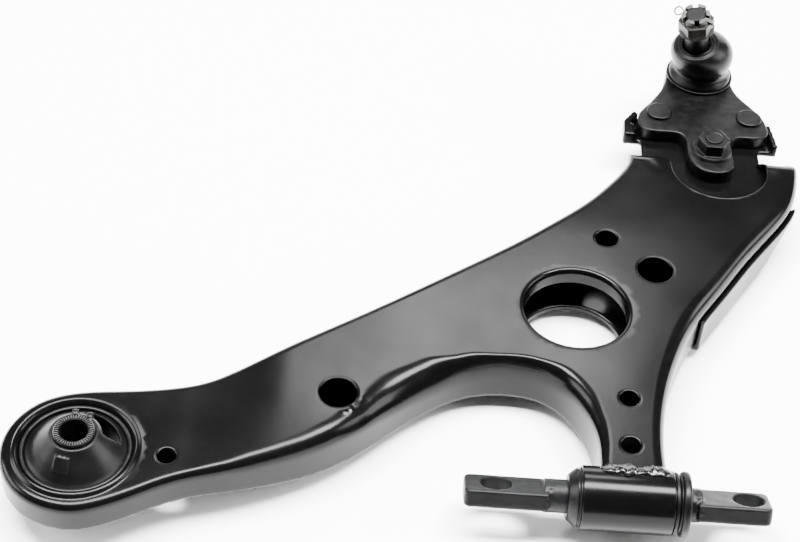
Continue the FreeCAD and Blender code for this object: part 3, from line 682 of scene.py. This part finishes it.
def face_outward(mesh):
    """Drop a sheet's loose points and turn its faces so that the top looks up."""
    bm = bmesh.new()
    bm.from_mesh(mesh)
    loose = [v for v in bm.verts if not v.link_faces]
    bmesh.ops.delete(bm, geom=loose, context="VERTS")
    bmesh.ops.recalc_face_normals(bm, faces=bm.faces)
    top = max(bm.faces, key=lambda f: f.calc_center_median().z)
    if top.normal.z < 0:
        bmesh.ops.reverse_faces(bm, faces=bm.faces)
    bm.to_mesh(mesh)
    bm.free()


def upper_shell():
    """The upper shell as a piece."""
    mesh = mesh_of("upper_shell_skin", *build_upper_shell())
    mesh.validate()
    obj = linked("upper_shell_skin", mesh)
    face_outward(mesh)
    solid = obj.modifiers.new("gauge", "SOLIDIFY")
    solid.thickness = UPPER_GAUGE * MM
    solid.offset = -1
    solid.use_rim = True
    apply_modifiers(obj)
    trim_leg(obj)
    return settle(obj, "arm", ["upper_shell"], PAINT, 38)


upper_shell()

# ------------------------------------------------------------------ the lower shell and the welds

settle(softened("lower_shell", 1.1, 4), "arm", ["lower_shell"], PAINT, 60)


def seam_bead():
    """The thin bead in the step between the shells, with a weld's ripple."""
    obj = softened("seam_weld", 0.8, 3)
    roughened(obj, lambda spot: 0.25 * noise.noise(spot * 0.35))
    return settle(obj, "arm", ["seam_weld"], WELD, 60)


seam_bead()


def leg_weld():
    """The heavy, uneven bead between the leg and the tube."""
    points = []
    around, count = 28, 110
    start, length, reach = 303.0, 42.5, 18.4
    for k in range(count):
        t = k / (count - 1)
        x = start + length * t
        taper = min(1.0, 7 * t, 7 * (1 - t)) ** 0.5
        size = (1 + 0.45 * noise.noise(Vector((x * 0.13, 0, 0)))
                + 0.12 * noise.noise(Vector((x * 0.7, 3, 0))))
        centre_angle = math.radians(60 + 9 * noise.noise(Vector((x * 0.08, 5, 0))))
        cy, cz = reach * math.cos(centre_angle), reach * math.sin(centre_angle)
        for i in range(around):
            angle = 2 * math.pi * i / around
            lump = size * (1 + 0.22 * noise.noise(Vector((x * 0.3, angle, 1))))
            wide, tall = 6.2 * lump * taper, 3.3 * lump * taper
            u, v = wide * math.cos(angle), tall * math.sin(angle)
            y = cy - u * math.sin(centre_angle) + v * math.cos(centre_angle)
            z = cz + u * math.cos(centre_angle) + v * math.sin(centre_angle)
            points.append((x, y, z))
    return finished("front_bush_weld_skin", points, rings_to_faces(count, around), "arm",
                    ["front_bush_weld"], WELD, 80)


leg_weld()

# ------------------------------------------------------------------ the front bush


def front_tube():
    """The tube, with softened ends."""
    bore = 16.0
    profile = rounded([(bore, 0), (TUBE_RADIUS, 0), (TUBE_RADIUS, TUBE_LENGTH), (bore, TUBE_LENGTH)], 0.8)
    points, faces = loop_lathe(profile, (TUBE_START, 0, 0), X_AXIS, 128)
    return finished("front_bush_tube_skin", points, faces, "arm", ["front_bush_tube"], PAINT)


def front_rubber():
    """The rubber: a slotted cone at the rear, the hidden body and a bulged lip in front."""
    bore = 9.95
    profile = [(bore, 0.4), (11.4, 0), (13.2, 0.3), (14.8, 2.2), (17.0, 5.0), (17.4, 5.8), (16.6, 6.1),
               (16.6, 6.7), (17.5, 7.0), (17.6, 7.9), (16.0, 8.0), (16.0, 64.8), (17.0, 65.1), (17.2, 66.1),
               (18.7, 66.6), (19.15, 67.8), (19.15, 69.6), (18.5, 70.8), (16.4, 71.3), (14.4, 71.5),
               (13.2, 71.9), (11.6, 72.4), (bore, 72.5)]
    points, faces = loop_lathe(rounded(profile, 0.5, 2), (285, 0, 0), X_AXIS, 128)
    return finished("front_bush_rubber_skin", points, faces, "arm", ["front_bush_rubber"],
                    RUBBER, 50)


def front_ring():
    """The thin steel ring between the tube and the lip."""
    profile = rounded([(16.1, 0.2), (18.4, 0.2), (18.4, 2.2), (16.1, 2.2)], 0.6)
    points, faces = loop_lathe(profile, (346.95, 0, 0), X_AXIS, 128)
    return finished("front_bush_ring_skin", points, faces, "arm", ["front_bush_ring"], STEEL)


front_tube()
front_rubber()
front_ring()


def bar_pin():
    """The forged bar, with soft edges and a faint forging skin, lumpier where its ends are flattened."""
    obj = softened("front_bush_bar", 0.6, 5)
    middle, step = 317.5, 43.2

    def skin(spot):
        near_step = math.exp(-((abs(spot.x - middle) - step) / 2.5) ** 2)
        lumps = 0.5 * near_step * noise.noise(spot * 0.45)
        return lumps + 0.10 * noise.noise(spot * 0.12) + 0.04 * noise.noise(spot * 0.9)

    roughened(obj, skin)
    return settle(obj, "front_bar", ["front_bush_bar"], BAR_STEEL, 60)


bar_pin()

# ------------------------------------------------------------------ the rear bush


def sleeve_with_teeth():
    """The inner sleeve, with fine radial serrations on both end faces and a bare top."""
    teeth, per_tooth = 45, 8
    around = teeth * per_tooth
    outer, bore, low, high, depth = 12.0, 8.25, -26.0, 30.0, 0.7
    rings = [(outer, low + 1), (outer - 0.5, low + 0.3), (outer - 0.9, low), (bore + 0.7, low),
             (bore, low + 0.6), (bore, high - 0.6), (bore + 0.7, high), (outer - 0.9, high),
             (outer - 0.5, high - 0.3), (outer, high - 1.0)]
    toothed = {2: -1, 3: -1, 6: 1, 7: 1}    # rings on an end face, and which way it looks
    points = []
    for k, (radius, height) in enumerate(rings):
        for i in range(around):
            angle = 2 * math.pi * i / around
            phase = (i % per_tooth) / per_tooth
            valley = depth * smoothstep(0.2, 0.45, abs(phase - 0.5) * 2 * 0.9)
            z = height - toothed.get(k, 0) * valley
            points.append((radius * math.cos(angle), radius * math.sin(angle), z))
    return finished("inner_sleeve_skin", points, looped_rings(len(rings), around), "rear_sleeve",
                    ["rear_bush_inner_sleeve"], SLEEVE_STEEL, 30,
                    lambda spot, normal: abs(normal.z) > 0.8 and spot.z > high - 0.3)


def outer_sleeve():
    """The outer sleeve, with a rounded top rim."""
    profile = rounded([(29.8, -12.5), (32.5, -12.5), (32.5, 14.5), (29.8, 14.5)], 1.2)
    points, faces = loop_lathe(profile, (0, 0, 0), UP, 144)
    return finished("outer_sleeve_skin", points, faces, "arm", ["rear_bush_outer_sleeve"],
                    SLEEVE_STEEL)


def rear_rubber():
    """The rubber cone with its crescent void, two nubs and a small raised pad."""
    nubs = []
    from_axis, half, foot, tip = 15.2, 1.9, 12, 29.0
    for heading in (62, 96):
        angle = math.radians(heading)
        x, y = from_axis * math.cos(angle), from_axis * math.sin(angle)
        nubs.append(box_form((x - half, y - half, foot), (x + half, y + half, tip)))
    flat, faces = box_form((-4.2, -4.4, -2.0), (4.2, 4.4, 0.9))
    lie = (Matrix.Translation((-4.6, -19.4, 22.0)) @ Matrix.Rotation(math.radians(-13), 4, "Z")
           @ Matrix.Rotation(math.radians(45), 4, "X"))
    pad = ([tuple(lie @ Vector(p)) for p in flat], faces)
    obj = softened("rear_bush_rubber", 0.65, 5, nubs + [pad])
    return settle(obj, "arm", ["rear_bush_rubber"], RUBBER, 60)


sleeve_with_teeth()
outer_sleeve()
rear_rubber()

# ------------------------------------------------------------------ the ball joint


def forged(node, voxel, rounds, body, look, rough=0.08, bare=None):
    """A forged or pressed piece: soft edges and a faint skin."""
    obj = softened(node, voxel, rounds)
    roughened(obj, lambda spot: rough * noise.noise(spot * 0.25))
    return settle(obj, body, [node], look, 60, bare)


def on_crown(spot, normal):
    """Whether a face is on the tips of the castle nut's crown."""
    return (spot - JOINT).dot(STUD_AXIS) > 70.5 and normal.dot(STUD_AXIS) > 0.5


forged("ball_joint_housing", 0.75, 6, "arm", STEEL, 0.15)
forged("flange_studs", 0.45, 3, "arm", STEEL)
forged("flange_stud_nuts", 0.45, 2, "arm", STEEL)
forged("flange_bolt", 0.45, 2, "arm", STEEL)
forged("flange_bolt_nut", 0.4, 2, "arm", STEEL)
forged("ball_joint_cap", 0.6, 3, "arm", STEEL)
forged("castle_nut", 0.35, 2, "joint_stud", NUT_STEEL, 0.12, on_crown)
forged("ball_stud", 0.5, 2, "joint_stud", STEEL, 0.03)


def boot():
    """The dust boot: a soft dome from the housing's clamp to the leaning stud's ring.

    A station is (height, radius, how far the boot's axis has turned to the stud's).
    """
    stations = [(6.4, 22.2, 0.0), (6.9, 22.4, 0.0), (9.0, 22.4, 0.0), (10.2, 22.0, 0.01), (11.6, 20.7, 0.03),
                (13.2, 19.5, 0.05), (15.0, 18.9, 0.09), (16.8, 19.2, 0.14), (18.5, 20.1, 0.2),
                (20.7, 21.0, 0.28), (23.0, 21.7, 0.36), (25.8, 22.15, 0.45), (28.5, 22.3, 0.54),
                (31.2, 21.9, 0.64), (33.5, 21.1, 0.74), (35.6, 20.0, 0.83), (37.5, 18.7, 0.92),
                (39.0, 17.3, 0.97), (39.8, 16.4, 1.0)]
    gauge, thin_above = 1.6, 34
    inner = [(max(6.4, h - (gauge if h > thin_above else 0)), r - gauge, lean) for h, r, lean in stations]
    inner += [(38.4, 12.6, 1.0)]
    stations += [(40.3, 15.8, 1.0), (40.5, 15.2, 1.0), (40.25, 14.7, 1.0), (40.5, 14.2, 1.0),
                 (40.25, 13.7, 1.0), (40.5, 13.2, 1.0), (40.3, 12.6, 1.0)]
    around = 128
    points = []
    for height, radius, lean in stations + inner[::-1]:
        axis = (UP * (1 - lean) + STUD_AXIS * lean).normalized()
        centre = JOINT + Vector((axis.x * height * lean, axis.y * height * lean, axis.z * height))
        turn = UP.rotation_difference(axis).to_matrix()
        for i in range(around):
            angle = 2 * math.pi * i / around
            points.append(centre + turn @ Vector((radius * math.cos(angle), radius * math.sin(angle), 0)))
    faces = looped_rings(len(stations) + len(inner), around)
    return finished("dust_boot_skin", points, faces, "arm", ["dust_boot"], BOOT_RUBBER, 50)


boot()


def stud_ring():
    """The seal ring on the stud, with two fine lips."""
    profile = rounded([(8.98, 36.1), (12.42, 36.1), (12.42, 39.8), (11.9, 40.4), (11.3, 39.9), (10.7, 40.4),
                       (10.3, 39.2), (8.98, 38.6)], 0.4)
    points, faces = loop_lathe(profile, JOINT, STUD_AXIS)
    return finished("boot_ring_skin", points, faces, "joint_ring", ["boot_ring"], BOOT_RUBBER, 50)


def clamp():
    """The clamp band round the boot's base."""
    profile = rounded([(22.42, 6.5), (23.8, 6.5), (24.15, 7.4), (23.8, 8.3), (22.42, 8.3)], 0.5)
    points, faces = loop_lathe(profile, JOINT, UP, 128)
    return finished("boot_clamp_skin", points, faces, "arm", ["boot_clamp"], STEEL)


def cotter():
    """The cotter pin: a split wire through the crown, its eye to one side, its legs bent down."""
    turn = UP.rotation_difference(STUD_AXIS).to_matrix() @ Matrix.Rotation(math.radians(-30), 3, "Z")
    level, half, eye_at, eye_radius, wire = 68.2, 0.62, -13.6, 3.0, 0.66
    twist = math.radians(60.5)
    across = Vector((0, math.sin(twist), math.cos(twist)))
    middle = Vector((0, 0, level))

    def spot(along, aside, drop=0.0):
        """A point of the wire: along the pin, to one side in the eye's plane, and down."""
        return middle + Vector((along, 0, -drop)) + across * aside

    route = [spot(11.6, 0.3, 4.6), spot(12.0, half, 2.4), spot(11.2, half, 0.3), spot(9, half),
             spot(0, half), spot(-9.5, half)]
    route += [spot(eye_at - eye_radius * math.cos(math.radians(a)), -eye_radius * math.sin(math.radians(a)))
              for a in range(-140, 141, 28)]
    route += [spot(-9.5, -half), spot(0, -half), spot(9, -half), spot(11.8, -half, 0.2),
              spot(13.4, -half, 1.3), spot(14.0, -half, 3.2)]
    curve = bpy.data.curves.new("cotter_path", "CURVE")
    curve.dimensions = "3D"
    curve.bevel_depth = wire * MM
    curve.bevel_resolution = 4
    curve.use_fill_caps = True
    spline = curve.splines.new("NURBS")
    spline.points.add(len(route) - 1)
    for point, place in zip(spline.points, route):
        point.co = (*((JOINT + turn @ place) * MM), 1)
    spline.order_u = 3
    spline.use_endpoint_u = True
    spline.resolution_u = 8
    holder = linked("cotter_curve", curve)
    mesh = bpy.data.meshes.new_from_object(holder.evaluated_get(bpy.context.evaluated_depsgraph_get()))
    bpy.data.objects.remove(holder)
    return settle(linked("cotter_pin_skin", mesh), "joint_stud", ["cotter_pin"], WIRE, 60)


stud_ring()
clamp()
cotter()

nodes["ball_seat"].data.materials.clear()
nodes["ball_seat"].data.materials.append(SEAT)

# ------------------------------------------------------------------ floor, lights and camera


def floor():
    """A wide pale floor under the arm."""
    level = cad_box[0][2] - 0.0005
    half = 6.0
    mesh = bpy.data.meshes.new("floor")
    corners = [(-half, -half, level), (half, -half, level), (half, half, level), (-half, half, level)]
    mesh.from_pydata(corners, [], [(0, 1, 2, 3)])
    obj = linked("floor", mesh)
    mat, _, _ = material("floor_white", (0.93, 0.93, 0.93), 0.9, specular=0.1)
    mesh.materials.append(mat)


def area_light(name, place, target, size, power):
    """A soft rectangular light, with its places and size in metres and its power in watts."""
    light = bpy.data.lights.new(name, "AREA")
    light.shape = "RECTANGLE"
    light.size, light.size_y = size
    light.energy = power
    obj = linked(name, light)
    obj.location = place
    obj.rotation_euler = (Vector(target) - Vector(place)).to_track_quat("-Z", "Y").to_euler()


def lights():
    """A dim surround, a long soft box overhead, one behind for the top's sheen, and pale side fills."""
    world = bpy.data.worlds.new("surround")
    bpy.context.scene.world = world
    world.use_nodes = True
    background = world.node_tree.nodes["Background"]
    background.inputs["Color"].default_value = (1, 1, 1, 1)
    background.inputs["Strength"].default_value = 0.2
    area_light("overhead", (0.2, 0.3, 2.3), (0.2, 0.3, 0), (2.8, 0.7), 800)
    area_light("back_box", (0.32, 1.76, 1.85), (0.25, 0.12, 0), (0.66, 0.5), 36)
    area_light("back_wall", (0.25, 2.4, 0.5), (0.25, 0, 0.1), (3.5, 0.7), 80)
    area_light("left_fill", (-2.3, 0.2, 1.2), (0.2, 0.1, 0), (1.6, 1.2), 120)
    area_light("right_fill", (2.7, 0.2, 1.2), (0.2, 0.1, 0), (1.6, 1.2), 120)


CAMERA_PLACE = (0.1708, -0.6588, 0.8245)
CAMERA_RIGHT = (0.9976, 0.0423, 0.0546)
CAMERA_UP = (-0.0686, 0.7009, 0.7099)
CAMERA_BACK = (-0.0083, -0.7120, 0.7022)


def camera():
    """The camera, where the picture's was."""
    data = bpy.data.cameras.new("camera")
    data.lens = 81.0
    data.sensor_width = 36.0
    data.clip_end = 50
    obj = linked("camera", data)
    turn = Matrix((CAMERA_RIGHT, CAMERA_UP, CAMERA_BACK)).transposed().to_4x4()
    obj.matrix_world = Matrix.Translation(CAMERA_PLACE) @ turn
    bpy.context.scene.camera = obj


floor()
lights()
camera()
